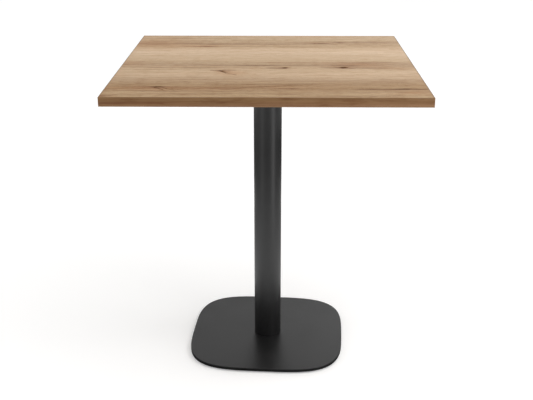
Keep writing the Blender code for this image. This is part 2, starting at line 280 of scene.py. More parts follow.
# knots with tails: x, y, half length, half width, strength
KNOTS = [
    (0.1800, -0.0610, 0.0105, 0.0062, 1.00),
    (0.0410, -0.0620, 0.0065, 0.0055, 0.95),
    (-0.1050, -0.0990, 0.0090, 0.0070, 0.80),
    (-0.1625, 0.1920, 0.0180, 0.0080, 0.62),
    (0.1350, 0.2370, 0.0160, 0.0048, 0.70),
    (0.1900, 0.2480, 0.0080, 0.0048, 0.65),
    (-0.2375, -0.2600, 0.0130, 0.0032, 1.00),
    (-0.0875, -0.2780, 0.0120, 0.0050, 0.55),
    (0.0575, -0.2725, 0.0140, 0.0030, 0.75),
    (0.2950, -0.2745, 0.0200, 0.0020, 0.90),
    (0.0400, -0.3180, 0.0120, 0.0035, 0.60),
    (-0.3440, -0.3400, 0.0090, 0.0080, 0.65),
]

# open cracks: x and y of the start, x and y of the end, half width, strength
CRACKS = [
    (-0.1320, -0.0920, -0.1080, -0.0980, 0.0016, 0.9),
    (-0.1110, -0.0960, -0.0960, -0.1200, 0.0026, 1.0),
    (-0.0960, -0.1190, -0.0720, -0.1400, 0.0018, 0.6),
    (-0.0980, -0.0980, -0.0740, -0.0920, 0.0016, 0.6),
    (-0.0990, -0.1060, -0.0830, -0.1120, 0.0014, 0.6),
    (-0.2420, -0.2650, -0.2210, -0.2860, 0.0018, 0.8),
    (-0.2240, -0.2660, -0.1970, -0.2900, 0.0017, 0.6),
    (-0.2060, -0.2700, -0.1800, -0.2880, 0.0015, 0.5),
    (-0.0700, -0.2700, 0.0000, -0.2520, 0.0018, 0.5),
    (0.0000, -0.2520, 0.1000, -0.2360, 0.0018, 0.5),
]

# patches of redder brown: x, y, half length, half width, strength
WARM_PATCHES = [
    (-0.310, 0.240, 0.090, 0.070, 0.80),
    (-0.180, 0.195, 0.070, 0.016, 0.60),
    (0.215, -0.028, 0.070, 0.024, 0.80),
    (0.290, -0.068, 0.050, 0.014, 0.50),
    (-0.335, -0.020, 0.040, 0.028, 0.60),
    (-0.250, -0.272, 0.140, 0.018, 0.90),
    (-0.085, -0.120, 0.032, 0.024, 0.70),
    (0.310, -0.305, 0.035, 0.012, 0.90),
    (0.020, -0.258, 0.120, 0.022, 0.40),
    (0.130, 0.335, 0.120, 0.014, 0.40),
]

# patches of paler wood: x, y, half length, half width, strength
PALE_PATCHES = [
    (0.180, 0.130, 0.180, 0.040, 0.50),
    (-0.250, 0.110, 0.110, 0.040, 0.30),
    (-0.200, -0.125, 0.060, 0.022, 0.50),
    (0.180, -0.150, 0.140, 0.040, 0.35),
    (-0.250, -0.310, 0.080, 0.010, 0.40),
]


def offset_in_sizes(g, given):
    """The way from a mark's centre to the position, in units of the mark's size."""
    way = g.vector("SUBTRACT", given["Position"], given["Centre"])
    return g.vector("DIVIDE", way, given["Size"])


def make_blob_group():
    """A soft ellipse: 1 at its centre, falling off as a bell curve."""
    g, given, result = new_group("blob", ("Position", "Centre", "Size", "Strength"))
    offset = offset_in_sizes(g, given)
    square = g.vector("DOT_PRODUCT", offset, offset)
    bell = g.math("EXPONENT", g.math("MULTIPLY", square, -1.0))
    g.feed(result, g.math("MULTIPLY", bell, given["Strength"]))
    return g.tree


def make_streak_group():
    """A line along X, even along its length, that a noise breaks up."""
    g, given, result = new_group("streak", ("Position", "Centre", "Size", "Strength"))
    offset = offset_in_sizes(g, given)
    parts = g.add("SeparateXYZ", {0: offset}).outputs
    along = g.math("POWER", g.math("MULTIPLY", parts["X"], parts["X"]), 2.0)
    across = g.math("MULTIPLY", parts["Y"], parts["Y"])
    bell = g.math("EXPONENT", g.math("MULTIPLY", g.math("ADD", along, across), -1.0))
    fibres = g.noise(g.scaled(given["Position"], 22.0, 260.0), 3.0, 0.6)
    broken = g.remap(fibres, 0.32, 0.62, 0.25, 1.0)
    g.feed(result, g.math("MULTIPLY", g.math("MULTIPLY", bell, broken), given["Strength"]))
    return g.tree


def make_eye_group():
    """A knot with tails: thickest at its centre, and drawn out along X into two thin lines."""
    g, given, result = new_group("eye", ("Position", "Centre", "Size", "Strength"))
    offset = offset_in_sizes(g, given)
    parts = g.add("SeparateXYZ", {0: offset}).outputs
    along = g.math("MULTIPLY", parts["X"], parts["X"])
    thin = g.math("MULTIPLY", parts["Y"], g.math("ADD", along, 1.0))
    bell = g.math("EXPONENT", g.math("MULTIPLY", g.math("MULTIPLY", thin, thin), -1.0))
    fade = g.math("DIVIDE", 1.0, g.math("ADD", g.math("MULTIPLY", along, TAIL_FADE), 1.0))
    g.feed(result, g.math("MULTIPLY", g.math("MULTIPLY", bell, fade), given["Strength"]))
    return g.tree


def make_scratch_group():
    """A soft stroke from Start to End."""
    g, given, result = new_group("scratch", ("Position", "Start", "End", "Width"))
    reach = g.vector("SUBTRACT", given["Position"], given["Start"])
    run = g.vector("SUBTRACT", given["End"], given["Start"])
    along, whole = g.vector("DOT_PRODUCT", reach, run), g.vector("DOT_PRODUCT", run, run)
    share = g.math("DIVIDE", along, whole, clamp=True)
    nearest = g.add("VectorMath", {0: run, "Scale": share}, operation="SCALE").outputs["Vector"]
    distance = g.math("DIVIDE", g.vector("DISTANCE", reach, nearest), given["Width"])
    square = g.math("MULTIPLY", distance, distance)
    g.feed(result, g.math("EXPONENT", g.math("MULTIPLY", square, -1.0)))
    return g.tree


BLOB = make_blob_group()
STREAK = make_streak_group()
EYE = make_eye_group()
SCRATCH = make_scratch_group()


def at(x, y):
    return (x, y, 0.0)


def marks(g, shape, position, rows, spread=1.0):
    """Total of the rows' marks, all of one shape, each spread times its stated size."""
    made = []
    for x, y, length, width, strength in rows:
        size = (length * spread, width * spread, 1.0)
        mark = g.group(shape, Position=position, Centre=at(x, y), Size=size, Strength=strength)
        made.append(mark)
    return g.math("MINIMUM", g.total(made), 1.0)


def marks_along(g, position, rows):
    """Total of the rows' strokes, each from one point to another."""
    made = []
    for x0, y0, x1, y1, width, strength in rows:
        stroke = g.group(SCRATCH, Position=position, Start=at(x0, y0), End=at(x1, y1), Width=width)
        made.append(g.math("MULTIPLY", stroke, strength))
    return g.math("MINIMUM", g.total(made), 1.0)


def wandering(g, flat):
    """The flat position with its grain lines gently bent, as a tree's are."""
    wide = g.math("SUBTRACT", g.noise(g.scaled(flat, 2.2, 7.0), 2.0), 0.5)
    fine = g.math("SUBTRACT", g.noise(g.scaled(flat, 11.0, 60.0), 2.0), 0.5)
    shift = g.math("ADD", g.math("MULTIPLY", wide, WIDE_BEND), g.math("MULTIPLY", fine, FINE_BEND))
    return g.vector("ADD", flat, g.add("CombineXYZ", {"Y": shift}).outputs[0])


def jagged(g, flat, scale, amount):
    """The flat position, shaken by up to about half the amount."""
    noise = g.add("TexNoise", {"Vector": flat, "Scale": scale, "Detail": 4.0, "Roughness": 0.65})
    shake = g.vector("SUBTRACT", noise.outputs["Color"], (0.5, 0.5, 0.5))
    return g.vector("ADD", flat, g.scaled(shake, amount, amount, 0.0))


def round_the_knots(g, position):
    """The position whose Y makes closed rings at each knot, and runs straight elsewhere."""
    across = g.add("SeparateXYZ", {0: position}).outputs["Y"]
    shifts = []
    for x, y, length, width, _ in KNOTS:
        size = (length * RING_LENGTH, width * RING_WIDTH, 1.0)
        near = g.group(BLOB, Position=position, Centre=at(x, y), Size=size, Strength=1.0)
        offset = g.vector("SUBTRACT", position, at(x, y))
        reach = g.vector("LENGTH", g.scaled(offset, width / length, 1.0))
        rise = g.math("SUBTRACT", across, y)
        shifts.append(g.math("MULTIPLY", near, g.math("SUBTRACT", reach, rise)))
    bent = g.math("ADD", across, g.total(shifts))
    along = g.add("SeparateXYZ", {0: position}).outputs["X"]
    return g.add("CombineXYZ", {"X": along, "Y": bent}).outputs[0]


def grain(g, color, lines, layers, depth):
    """Rings, fibres and open pores over the color. Returns the color and the pores' mask."""
    for along, across, detail, low, high, strength, shade in layers:
        noise = g.noise(g.scaled(lines, along, across), detail, 0.6)
        mask = g.math("MULTIPLY", g.remap(noise, low, high, 0.0, strength), depth)
        color = g.tint(color, mask, shade)
    pores = g.noise(g.scaled(lines, 85.0, 2300.0), 2.0, 0.5)
    gate = g.remap(g.noise(g.scaled(lines, 6.0, 120.0), 2.0), 0.40, 0.60)
    pores = g.math("MULTIPLY", g.remap(pores, 0.56, 0.68), gate)
    shown = g.math("MULTIPLY", g.math("MULTIPLY", pores, PORE_STRENGTH), depth)
    return g.tint(color, shown, PORE_SHADE), pores


def make_oak_decor():
    """Printed oak laminate: plank tones, growth rings, streaks, knots, cracks and pores."""
    material, g, shader, position = new_material("oak_decor_satin")
    flat = g.vector("MULTIPLY", position, (1.0, 1.0, 0.0))
    line = wandering(g, flat)
    across = g.add("SeparateXYZ", {0: line}).outputs["Y"]
    share = g.math("SUBTRACT", 0.5, g.math("DIVIDE", across, 2 * TOP_HALF))
    color = g.ramp(share, BOARD_TONES)
    depth = g.add("SeparateXYZ", {0: g.ramp(share, GRAIN_DEPTH)}).outputs["X"]

    color = g.tint(color, marks(g, BLOB, line, WARM_PATCHES), WARM_SHADE)
    color = g.tint(color, marks(g, BLOB, line, PALE_PATCHES), PALE_SHADE)

    rings = round_the_knots(g, line)
    color, pores = grain(g, color, rings, GRAIN_LAYERS + FLECK_LAYERS, depth)
    color = g.tint(color, marks(g, STREAK, line, STREAKS), STREAK_SHADE)

    ragged = jagged(g, line, *KNOT_RAGGED)
    halo = marks(g, BLOB, ragged, KNOTS, HALO_SPREAD)
    color = g.tint(color, g.math("MULTIPLY", halo, 0.55), HALO_SHADE)
    color = g.tint(color, marks(g, EYE, ragged, KNOTS), EYE_SHADE)
    core = g.remap(halo, 0.60, 0.92)
    color = g.tint(color, core, CORE_SHADE)

    crack = marks_along(g, jagged(g, flat, *CRACK_RAGGED), CRACKS)
    color = g.tint(color, crack, CRACK_SHADE)

    g.feed(shader.inputs["Base Color"], color)
    shader.inputs["Specular IOR Level"].default_value = 0.12
    open_wood = g.math("MAXIMUM", pores, g.math("MAXIMUM", crack, core))
    g.feed(shader.inputs["Roughness"], g.remap(open_wood, 0.0, 1.0, 0.55, 0.95))
    fibres = g.math("MULTIPLY", g.noise(g.scaled(rings, 25.0, 1500.0), 2.0), 0.3)
    bump(g, shader, g.math("SUBTRACT", fibres, open_wood), 0.35, 0.0002)
    return material


# up the edge band, from its lower edge: share of the height, and its tone
BAND_TONES = [
    (0.00, (0.235, 0.135, 0.070)),
    (0.22, (0.233, 0.127, 0.061)),
    (0.35, (0.210, 0.113, 0.052)),
    (0.62, (0.209, 0.114, 0.049)),
    (0.86, (0.204, 0.113, 0.049)),
    (1.00, (0.238, 0.140, 0.068)),
]


def make_band_decor(name, along, across):
    """Darker oak edge band with its grain along it. along and across name two axes."""
    material, g, shader, position = new_material(name)
    parts = g.add("SeparateXYZ", {0: position}).outputs
    flat = g.add("CombineXYZ", {"X": parts[along], "Y": parts[across]}).outputs[0]
    line = wandering(g, flat)
    height = g.math("SUBTRACT", parts["Z"], band_low.z)
    share = g.math("DIVIDE", height, band_high.z - band_low.z)
    color = g.ramp(share, BAND_TONES)
    color, pores = grain(g, color, line, GRAIN_LAYERS, 0.9)
    patches = g.remap(g.noise(g.scaled(flat, 9.0, 90.0), 3.0), 0.50, 0.72)
    color = g.tint(color, g.math("MULTIPLY", patches, 0.6), PATCH_SHADE)
    g.feed(shader.inputs["Base Color"], color)
    g.feed(shader.inputs["Roughness"], g.remap(pores, 0.0, 1.0, 0.45, 0.60))
    shader.inputs["Specular IOR Level"].default_value = 0.22
    bump(g, shader, g.math("SUBTRACT", 1.0, pores), 0.3, 0.0002)
    return material


# ---- metal, board and plastic ----


def make_powder_coat():
    """Fine-textured black powder coat."""
    material, g, shader, position = new_material("black_coat_fine")
    cloud = g.noise(position, 3.0, 0.55, scale=14.0)
    color = g.ramp(cloud, [(0.3, (0.006, 0.006, 0.0062)), (0.7, (0.010, 0.010, 0.0104))])
    g.feed(shader.inputs["Base Color"], color)
    peel = g.noise(position, 2.0, 0.5, scale=900.0)
    speck = g.remap(g.noise(position, 1.0, 0.5, scale=2600.0), 0.55, 0.75)
    g.feed(shader.inputs["Roughness"], g.remap(g.math("ADD", cloud, speck), 0.3, 1.4, 0.34, 0.46))
    bump(g, shader, g.math("ADD", peel, g.math("MULTIPLY", speck, 0.4)), 0.25, 0.00012)
    return material


def make_zinc():
    """Zinc-plated steel: a faintly mottled, slightly blue grey metal."""
    material, g, shader, position = new_material("zinc_plate")
    cloud = g.noise(position, 4.0, 0.6, scale=260.0)
    color = g.ramp(cloud, [(0.3, (0.50, 0.51, 0.52)), (0.7, (0.68, 0.68, 0.66))])
    g.feed(shader.inputs["Base Color"], color)
    g.feed(shader.inputs["Roughness"], g.remap(cloud, 0.3, 0.7, 0.26, 0.42))
    shader.inputs["Metallic"].default_value = 1.0
    bump(g, shader, cloud, 0.2, 0.0001)
    return material


def make_particleboard():
    """Pressed chips of many browns."""
    material, g, shader, position = new_material("pressed_chips")
    cells = g.add("TexVoronoi", {"Vector": g.scaled(position, 300.0, 300.0, 700.0), "Scale": 1.0})
    chips = g.add("SeparateXYZ", {0: cells.outputs["Color"]}).outputs["X"]
    browns = [(0.0, (0.30, 0.19, 0.10)), (0.5, (0.50, 0.36, 0.21)), (1.0, (0.66, 0.52, 0.34))]
    g.feed(shader.inputs["Base Color"], g.ramp(chips, browns))
    g.feed(shader.inputs["Roughness"], g.remap(chips, 0.0, 1.0, 0.80, 0.95))
    bump(g, shader, cells.outputs["Distance"], 0.5, 0.0004)
    return material


def make_backing():
    """Plain brown balancing sheet with the faint flecks of recycled paper."""
    material, g, shader, position = new_material("backing_paper")
    cloud = g.noise(position, 4.0, 0.6, scale=30.0)
    fleck = g.remap(g.noise(position, 2.0, 0.5, scale=900.0), 0.60, 0.72)
    color = g.ramp(cloud, [(0.3, (0.27, 0.195, 0.135)), (0.7, (0.33, 0.245, 0.17))])
    color = g.tint(color, g.math("MULTIPLY", fleck, 0.5), (0.6, 0.55, 0.5))
    g.feed(shader.inputs["Base Color"], color)
    g.feed(shader.inputs["Roughness"], g.remap(cloud, 0.3, 0.7, 0.55, 0.66))
    bump(g, shader, fleck, 0.15, 0.0001)
    return material


def make_nylon():
    """Moulded black nylon with a fine spark-eroded texture."""
    material, g, shader, position = new_material("moulded_nylon")
    texture = g.noise(position, 3.0, 0.6, scale=1800.0)
    color = g.ramp(texture, [(0.3, (0.014, 0.014, 0.014)), (0.7, (0.024, 0.024, 0.025))])
    g.feed(shader.inputs["Base Color"], color)
    g.feed(shader.inputs["Roughness"], g.remap(texture, 0.3, 0.7, 0.48, 0.60))
    bump(g, shader, texture, 0.3, 0.0001)
    return material


oak_decor = make_oak_decor()
band_along_x = make_band_decor("oak_band_along_x", "X", "Z")
band_along_y = make_band_decor("oak_band_along_y", "Y", "Z")
powder_coat = make_powder_coat()
zinc = make_zinc()
chips = make_particleboard()
backing = make_backing()
nylon = make_nylon()


# ---- modelling ----

WELD = 0.0000001  # merge distance of corners that coincide
SMOOTH_BELOW = radians(35)  # faces that meet at less than this are shaded smooth
ROUND_ABOVE = radians(40)  # edges that turn more than this are rounded
ARC_STEPS = 5  # of a profile's round corner
CORNER_STEPS = 12  # of a round corner seen from above


def new_object(name, shape, material):
    """Puts the bmesh into the scene, as an object of one material."""
    mesh = bpy.data.meshes.new(name)
    shape.to_mesh(mesh)
    shape.free()
    made = bpy.data.objects.new(name, mesh)
    bpy.context.scene.collection.objects.link(made)
    mesh.materials.append(material)
    return made


def as_piece(name, shape, material, turned=False):
    """Makes the bmesh a piece: its faces point out, and it is smooth up to its sharp edges."""
    bmesh.ops.remove_doubles(shape, verts=shape.verts, dist=WELD)
    bmesh.ops.recalc_face_normals(shape, faces=shape.faces)
    if turned:
        shape.transform(Matrix.Rotation(PEDESTAL_TURN, 4, "Z"))
    piece = new_object(name, shape, material)
    smooth(piece.data)
    return piece


def smooth(mesh):
    mesh.shade_smooth()
    mesh.set_sharp_from_angle(angle=SMOOTH_BELOW)


def stand_for(piece, node, body):
    """The piece rides on the body and takes the CAD node's place."""
    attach(piece, body)
    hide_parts(node)


def soften(piece, width, segments):
    bevel = piece.modifiers.new("rounded_edges", "BEVEL")
    bevel.width = width
    bevel.segments = segments
    bevel.limit_method = "ANGLE"
    bevel.angle_limit = ROUND_ABOVE
    bevel.harden_normals = True
    return piece


def add_box(shape, low, high):
    low, high = Vector(low), Vector(high)
    size = Matrix.Diagonal((*(high - low), 1.0))
    bmesh.ops.create_cube(shape, size=1.0, matrix=Matrix.Translation((low + high) / 2) @ size)


def skin(shape, rings, ends="capped"):
    """Covers the rings, in order. The first and last rings are "capped", "joined" or "open"."""
    rows = [[shape.verts.new(point) for point in ring] for ring in rings]
    pairs = list(zip(rows, rows[1:]))
    if ends == "joined":
        pairs.append((rows[-1], rows[0]))
    for lower, upper in pairs:
        for i, vertex in enumerate(lower):
            j = (i + 1) % len(lower)
            shape.faces.new((vertex, lower[j], upper[j], upper[i]))
    if ends == "capped":
        shape.faces.new(rows[0])
        shape.faces.new(rows[-1])


def arc(x, z, radius, start, end):
    """Points on a profile's round corner, from one angle to another, in degrees."""
    angles = [radians(start + (end - start) * i / ARC_STEPS) for i in range(ARC_STEPS + 1)]
    return [(x + radius * cos(angle), z + radius * sin(angle)) for angle in angles]


def circle(radius, height, sides, centre=(0.0, 0.0)):
    angles = [tau * i / sides for i in range(sides)]
    x, y = centre[0], centre[1]
    return [(x + radius * cos(angle), y + radius * sin(angle), height) for angle in angles]


def lathe(shape, profile, sides, centre=(0.0, 0.0), ends="capped"):
    """A turned solid about an upright axis, from (radius, height) points."""
    skin(shape, [circle(radius, height, sides, centre) for radius, height in profile], ends)


def inset(outline, distance):
    """The closed outline moved inwards, square to itself."""
    moved = []
    for i, (x, y) in enumerate(outline):
        before, after = outline[i - 1], outline[(i + 1) % len(outline)]
        along = Vector((after[0] - before[0], after[1] - before[1])).normalized()
        moved.append((x - along.y * distance, y + along.x * distance))
    return moved


def plate(shape, outline, low, high, edge):
    """A plate between two levels, whose upper and lower edges are rounded by a quarter circle."""
    flat = 2 * edge  # a narrow flat border keeps the shading of the faces flat
    lower_edge = arc(edge, low + edge, edge, 270, 180)
    upper_edge = arc(edge, high - edge, edge, 180, 90)
    rings = []
    for distance, level in [(flat, low)] + lower_edge + upper_edge + [(flat, high)]:
        rings.append([(x, y, level) for x, y in inset(outline, distance)])
    skin(shape, rings)


def carve(piece, shape):
    """Cuts the closed bmesh out of the piece."""
    cutter = as_piece("cutter", shape, piece.data.materials[0])
    boolean = piece.modifiers.new("cut", "BOOLEAN")
    boolean.operation = "DIFFERENCE"
    boolean.object = cutter
    bpy.context.view_layer.update()
    graph = bpy.context.evaluated_depsgraph_get()
    mesh = bpy.data.meshes.new_from_object(piece.evaluated_get(graph))
    piece.modifiers.clear()
    piece.data = mesh
    smooth(mesh)
    bpy.data.objects.remove(cutter, do_unlink=True)


# ---- tabletop ----

GLUE_LINE = 0.00005  # what shows between the decor sheet and its bands
SHEET_ROUND = 0.0001  # rounding of the decor sheet's edges
BAND_ROUND = 0.0007  # and of the bands


def build_top():
    """The decor sheet, and four edge bands with softly rounded edges."""
    inner = TOP_HALF - BAND_DEPTH
    half = inner - GLUE_LINE
    shape = bmesh.new()
    add_box(shape, (-half, -half, top_low.z), (half, half, top_high.z))
    sheet = soften(as_piece("decor_sheet", shape, oak_decor), SHEET_ROUND, 2)
    stand_for(sheet, "tabletop_laminate", ROOT)

    out, low, high = TOP_HALF, band_low.z, band_high.z
    spans = {
        "front": ((-out, -out, low), (out, -inner, high), band_along_x),
        "back": ((-out, inner, low), (out, out, high), band_along_x),
        "left": ((-out, -half, low), (-inner, half, high), band_along_y),
        "right": ((inner, -half, low), (out, half, high), band_along_y),
    }
    for side, (first, last, material) in spans.items():
        shape = bmesh.new()
        add_box(shape, first, last)
        band = soften(as_piece(f"band_{side}", shape, material), BAND_ROUND, 4)
        stand_for(band, f"edge_band_{side}", ROOT)


# ---- column, mounting plate and base ----

COLUMN_RADIUS = 0.035
COLUMN_WALL = 0.002
COLUMN_SIDES = 160
COLUMN_EDGE = 0.0004  # radius of the tube's outer edges

BASE_SIDE = 0.400  # between the middles of two opposite sides
BASE_POWER = 3.6  # superellipse power: 2 is a circle, and a large one nears a square
BASE_POINTS = 360
BASE_EDGE = 0.0010  # radius of the base's edges
STUD_HOLE_DEPTH = 0.0063

PLATE_SIDE = 0.300
PLATE_CORNER = 0.025  # radius of the mounting plate's corners
PLATE_EDGE = 0.0008  # radius of its edges

M6, M8 = 0.003, 0.004  # thread radii
HOLE_SIDES = 48
OVERRUN = 0.002  # how far a cutter passes the face that it cuts


def soft_square(side, power, count):
    """A square whose sides bow out and run smoothly into round corners."""
    points = []
    for step in range(count):
        angle = tau * step / count
        c, s = cos(angle), sin(angle)
        reach = side / 2 * (abs(c) ** power + abs(s) ** power) ** (-1 / power)
        points.append((reach * c, reach * s))
    return points


def rounded_square(side, corner):
    points = []
    reach = side / 2 - corner
    for quarter in range(4):
        start = quarter * pi / 2
        x = copysign(reach, cos(start + pi / 4))
        y = copysign(reach, sin(start + pi / 4))
        angles = [start + pi / 2 * step / CORNER_STEPS for step in range(CORNER_STEPS + 1)]
        points += [(x + corner * cos(angle), y + corner * sin(angle)) for angle in angles]
    return points


def sinks(shape, spots, radius, face, far, up):
    """Countersunk holes: wide at the face level, running to the far level. up is 1 or -1."""
    narrow, wide = radius + GAP, 2 * radius + GAP
    for spot in spots:
        profile = [(wide, face + up * OVERRUN), (wide, face)]
        profile += [(narrow, face - up * (wide - narrow)), (narrow, far - up * OVERRUN)]
        lathe(shape, profile, HOLE_SIDES, spot)


def holes(shape, spots, radius, low, high):
    for spot in spots:
        lathe(shape, [(radius, low), (radius, high)], HOLE_SIDES, spot)


def build_column():
    """The tube, down to the base plate's face, so that no light shows under it."""
    low, high, edge = base_high.z, tube_high.z, COLUMN_EDGE
    inner = COLUMN_RADIUS - COLUMN_WALL
    profile = arc(COLUMN_RADIUS - edge, low + edge, edge, -90, 0)
    profile += arc(COLUMN_RADIUS - edge, high - edge, edge, 0, 90)
    profile += [(inner, high), (inner, low)]
    shape = bmesh.new()
    lathe(shape, profile, COLUMN_SIDES, ends="joined")
    stand_for(as_piece("column", shape, powder_coat), "column_tube", ROOT)


def build_base():
    shape = bmesh.new()
    outline = soft_square(BASE_SIDE, BASE_POWER, BASE_POINTS)
    plate(shape, outline, base_low.z, base_high.z, BASE_EDGE)
    base = as_piece("base", shape, powder_coat, turned=True)
    cuts = bmesh.new()
    sinks(cuts, BASE_SPOTS, M8, base_low.z, base_high.z, -1)
    holes(cuts, FOOT_SPOTS, M8 + GAP, base_low.z - OVERRUN, base_low.z + STUD_HOLE_DEPTH)
    carve(base, cuts)
    stand_for(base, "base_plate", ROOT)


def build_mounting_plate():
    shape = bmesh.new()
    low, high = plate_low.z, plate_high.z
    plate(shape, rounded_square(PLATE_SIDE, PLATE_CORNER), low, high, PLATE_EDGE)
    steel = as_piece("plate_under_top", shape, powder_coat, turned=True)
    cuts = bmesh.new()
    sinks(cuts, PLATE_SPOTS, M6, high, low, 1)
    holes(cuts, WOOD_SPOTS, WOOD_SCREW + GAP, low - OVERRUN, high + OVERRUN)
    carve(steel, cuts)
    stand_for(steel, "mounting_plate", ROOT)


# ---- screws ----

WOOD_SCREW = 0.0025  # thread radius
WOOD_HEAD = 0.0050  # radius of the head
WOOD_HEAD_TOP = 0.0012  # radius of the head's flat top
WOOD_HEAD_RIM = 0.15  # share of the head's height that its straight rim takes
DOME_ANGLES = range(20, 90, 7)  # from the head's axis, in degrees
DOME_POWER = 0.6  # 1 is a ball, and less is a flatter dome
POINT_RADIUS = 0.3  # of the screw's point, as a share of the thread's
CROSS_DEPTH, CROSS_LENGTH, CROSS_WIDTH = 0.0017, 0.0046, 0.0011
HEXAGON_M6, HEXAGON_M8 = 0.004, 0.005  # across flats
HEXAGON_DEPTH = 0.6  # as a share of the thread's radius
SCREW_SIDES = 48


def cross(length, width):
    """The outline of a plus sign."""
    a, b = length / 2, width / 2
    arm = [(a, -b), (a, b), (b, b)]
    points = []
    for quarter in range(4):
        c, s = round(cos(quarter * pi / 2)), round(sin(quarter * pi / 2))
        points += [(c * x - s * y, s * x + c * y) for x, y in arm]
    return points


def add_cross(shape, spot, face, depth, length, width):
    """A tapered recess for a cross screwdriver, that goes up into a head from its face level."""
    rings = []
    for level, share in ((face - OVERRUN, 1.0), (face, 1.0), (face + depth, 0.5)):
        outline = cross(length * share, width * (0.5 + share / 2))
        rings.append([(spot.x + x, spot.y + y, level) for x, y in outline])
    skin(shape, rings)


def build_wood_screws():
    """Pan-head screws up through the mounting plate, with cross recesses."""
    for i, spot in enumerate(WOOD_SPOTS):
        node = f"top_screw_{i + 1}"
        low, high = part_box(node)
        rim = plate_low.z - GAP  # the plate's side of the head
        head = rim - low.z
        profile = [(WOOD_HEAD_TOP, low.z)]
        for angle in DOME_ANGLES:
            rise = head * cos(radians(angle)) ** DOME_POWER
            profile.append((WOOD_HEAD * sin(radians(angle)), rim - rise))
        profile += [(WOOD_HEAD, rim - head * WOOD_HEAD_RIM), (WOOD_HEAD, rim), (WOOD_SCREW, rim)]
        profile += [(WOOD_SCREW, high.z - 2 * WOOD_SCREW), (WOOD_SCREW * POINT_RADIUS, high.z)]
        shape = bmesh.new()
        lathe(shape, profile, SCREW_SIDES, spot)
        screw = as_piece(f"wood_screw_{i + 1}", shape, zinc)
        cuts = bmesh.new()
        add_cross(cuts, spot, low.z, CROSS_DEPTH, CROSS_LENGTH, CROSS_WIDTH)
        carve(screw, cuts)
        stand_for(screw, node, ROOT)


def build_socket_screws(stem, name, spots, radius, hexagon, up):
    """Countersunk screws with hexagon sockets. up is 1 where the heads face up, else -1."""
    for i, spot in enumerate(spots):
        node = f"{stem}_{i + 1}"
        low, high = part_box(node)
        face, end = (high.z, low.z) if up > 0 else (low.z, high.z)
        wide = 2 * radius - GAP
        neck = face - up * (wide - radius + GAP)
        profile = [(wide, face), (wide, face - up * GAP), (radius, neck)]
        profile += [(radius, end + up * GAP), (radius - GAP, end)]
        shape = bmesh.new()
        lathe(shape, profile, SCREW_SIDES, spot)
        screw = as_piece(f"{name}_{i + 1}", shape, zinc)
        cuts = bmesh.new()
        corner = hexagon / 2 / cos(pi / 6)
        bottom = face - up * HEXAGON_DEPTH * radius
        lathe(cuts, [(corner, face + up * OVERRUN), (corner, bottom)], 6, spot)
        carve(screw, cuts)
        stand_for(screw, node, ROOT)


# ---- levelling feet ----

PITCH = 0.00125  # of the M8 thread
THREAD_DEPTH = 0.0006
THREAD_SIDES = 40
THREAD_STEPS = 8  # rings for each turn of the thread
FLANGE_RADIUS = 0.007
FLANGE_THICKNESS = 0.0012
FLANGE_EDGE = 0.0002  # its chamfer
PAD_RADIUS = 0.014
PAD_CROWN = 0.0095  # radius of the plain round face inside the flutes
PAD_LOWER_ROUND, PAD_UPPER_ROUND = 0.0006, 0.0005
NECK_CHAMFER, NECK_CHAMFER_DEPTH = 0.0004, 0.0003  # of the hole for the stud
GRIPS = 12
GRIP_START = 0.0010  # height at which the flutes have their full depth
GRIP_DEPTH = 0.0011
PAD_SIDES = 12 * GRIPS


def thread_ring(height, spot):
    """A section of the thread: its radius falls and rises once round the stud."""
    ring = []
    for i in range(THREAD_SIDES):
        turn = i / THREAD_SIDES
        phase = (height / PITCH - turn) % 1.0
        radius = M8 - THREAD_DEPTH * abs(2 * phase - 1)
        x, y = radius * cos(tau * turn), radius * sin(tau * turn)
        ring.append((spot.x + x, spot.y + y, height))
    return ring


def build_stud(i, spot):
    """A steel stud with a real M8 thread over the flange that holds its pad."""
    node = f"foot_stud_{i + 1}"
    low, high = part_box(node)
    flange_top = low.z + FLANGE_THICKNESS
    flange = [
        (FLANGE_RADIUS - FLANGE_EDGE, low.z),
        (FLANGE_RADIUS, low.z + FLANGE_EDGE),
        (FLANGE_RADIUS, flange_top - FLANGE_EDGE),
        (FLANGE_RADIUS - FLANGE_EDGE, flange_top),
        (M8 - THREAD_DEPTH, flange_top),
    ]
    rings = [circle(radius, z, THREAD_SIDES, spot) for radius, z in flange]
    steps = round((high.z - flange_top) / PITCH * THREAD_STEPS)
    for step in range(1, steps):
        rings.append(thread_ring(flange_top + (high.z - flange_top) * step / steps, spot))
    rings.append(circle(M8 - THREAD_DEPTH, high.z, THREAD_SIDES, spot))
    shape = bmesh.new()
    skin(shape, rings)
    stand_for(as_piece(f"stud_{i + 1}", shape, zinc), node, f"foot_{i + 1}_stud")


def grip_ring(radius, height, spot, share):
    """A ring of the pad's rim, with finger flutes cut to a share of their depth."""
    ring = []
    for i in range(PAD_SIDES):
        turn = tau * i / PAD_SIDES
        flute = max(0.0, cos(turn * GRIPS)) ** 2
        reach = radius - GRIP_DEPTH * share * flute
        ring.append((spot.x + reach * cos(turn), spot.y + reach * sin(turn), height))
    return ring


